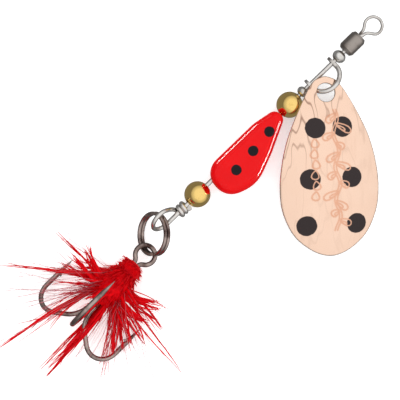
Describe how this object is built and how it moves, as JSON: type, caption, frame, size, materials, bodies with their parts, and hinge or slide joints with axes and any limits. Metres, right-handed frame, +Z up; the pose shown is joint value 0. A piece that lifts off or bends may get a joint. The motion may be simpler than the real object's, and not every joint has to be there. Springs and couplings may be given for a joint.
{
  "type": "inline spinner fishing lure",
  "caption": "Inline spinner: wire shaft with swivel, beads, flat red keel body and cupped copper blade on a clevis; split ring and feathered treble hook at the tail.",
  "frame": {"origin": "centre of the bounding box in plan, on the table the lure lies on", "axes": "+X along the shaft towards the line eye, +Z up from the table, the blade on the -Y side"},
  "size_m": [0.0844, 0.0326, 0.0163],
  "materials": {
    "bright_wire": "bright drawn wire",
    "bright_bead": "polished",
    "grey_nickel": "satin grey nickel plate",
    "gold_bead": "polished",
    "red_enamel": "gloss enamel with black dots",
    "copper_blade": "polished copper plate with black dots",
    "black_nickel": "black nickel plate",
    "braze_metal": "plated braze",
    "red_thread": "waxed thread",
    "red_hackle": "soft dyed hackle"
  },
  "bodies": {
    "shaft": {"shaft_wire": "bright_wire"},
    "swivel": {"swivel_barrel": "grey_nickel"},
    "line_eye": {"line_eye": "bright_wire"},
    "upper_spacer": {"upper_spacer_bead": "bright_bead"},
    "lower_spacer": {"lower_spacer_bead": "bright_bead"},
    "upper_brass": {"upper_brass_bead": "gold_bead"},
    "lower_brass": {"lower_brass_bead": "gold_bead"},
    "keel": {"lure_body": "red_enamel"},
    "clevis": {"clevis": "bright_wire"},
    "blade": {"blade": "copper_blade"},
    "split_ring": {"split_ring": "black_nickel"},
    "treble": {"double_hook": "black_nickel", "single_hook": "black_nickel", "braze_seam": "braze_metal", "thread_head": "red_thread", "hackle_collar": "red_hackle", "tail_plume_1": "red_hackle", "tail_plume_2": "red_hackle", "tail_plume_3": "red_hackle", "side_plume_1": "red_hackle", "side_plume_2": "red_hackle"}
  },
  "joints": [
    {"name": "swivel_spin", "type": "hinge", "parent": "shaft", "child": "swivel", "pos_m": [0.03586, 0.00829, 0.0028], "axis": [1, 0, 0], "continuous": true},
    {"name": "line_eye_spin", "type": "hinge", "parent": "swivel", "child": "line_eye", "pos_m": [0.03782, 0.00829, 0.0028], "axis": [1, 0, 0], "continuous": true},
    {"name": "upper_spacer_spin", "type": "hinge", "parent": "shaft", "child": "upper_spacer", "pos_m": [0.03277, 0.00829, 0.0028], "axis": [1, 0, 0], "continuous": true},
    {"name": "clevis_spin", "type": "hinge", "parent": "shaft", "child": "clevis", "pos_m": [0.02862, 0.00829, 0.0028], "axis": [1, 0, 0], "continuous": true},
    {"name": "lower_spacer_spin", "type": "hinge", "parent": "shaft", "child": "lower_spacer", "pos_m": [0.02432, 0.00829, 0.0028], "axis": [1, 0, 0], "continuous": true},
    {"name": "upper_brass_spin", "type": "hinge", "parent": "shaft", "child": "upper_brass", "pos_m": [0.02124, 0.00829, 0.0028], "axis": [1, 0, 0], "continuous": true},
    {"name": "keel_spin", "type": "hinge", "parent": "shaft", "child": "keel", "pos_m": [0.01082, 0.00829, 0.0028], "axis": [1, 0, 0], "continuous": true},
    {"name": "lower_brass_spin", "type": "hinge", "parent": "shaft", "child": "lower_brass", "pos_m": [-0.00018, 0.00829, 0.0028], "axis": [1, 0, 0], "continuous": true},
    {"name": "blade_swing", "type": "hinge", "parent": "clevis", "child": "blade", "pos_m": [0.02862, 0.00758, 0.0032], "axis": [0, 0.4906, 0.8714], "range_deg": [0, 60]},
    {"name": "ring_swing", "type": "hinge", "parent": "shaft", "child": "split_ring", "pos_m": [-0.00717, 0.01024, 0.00608], "axis": [0.9913, 0.019, -0.13], "range_deg": [-30, 45]},
    {"name": "treble_swing", "type": "hinge", "parent": "split_ring", "child": "treble", "pos_m": [-0.0126, 0.0065, 0.00331], "axis": [0.297, -0.523, 0.7989], "range_deg": [-75, 25]}
  ]
}
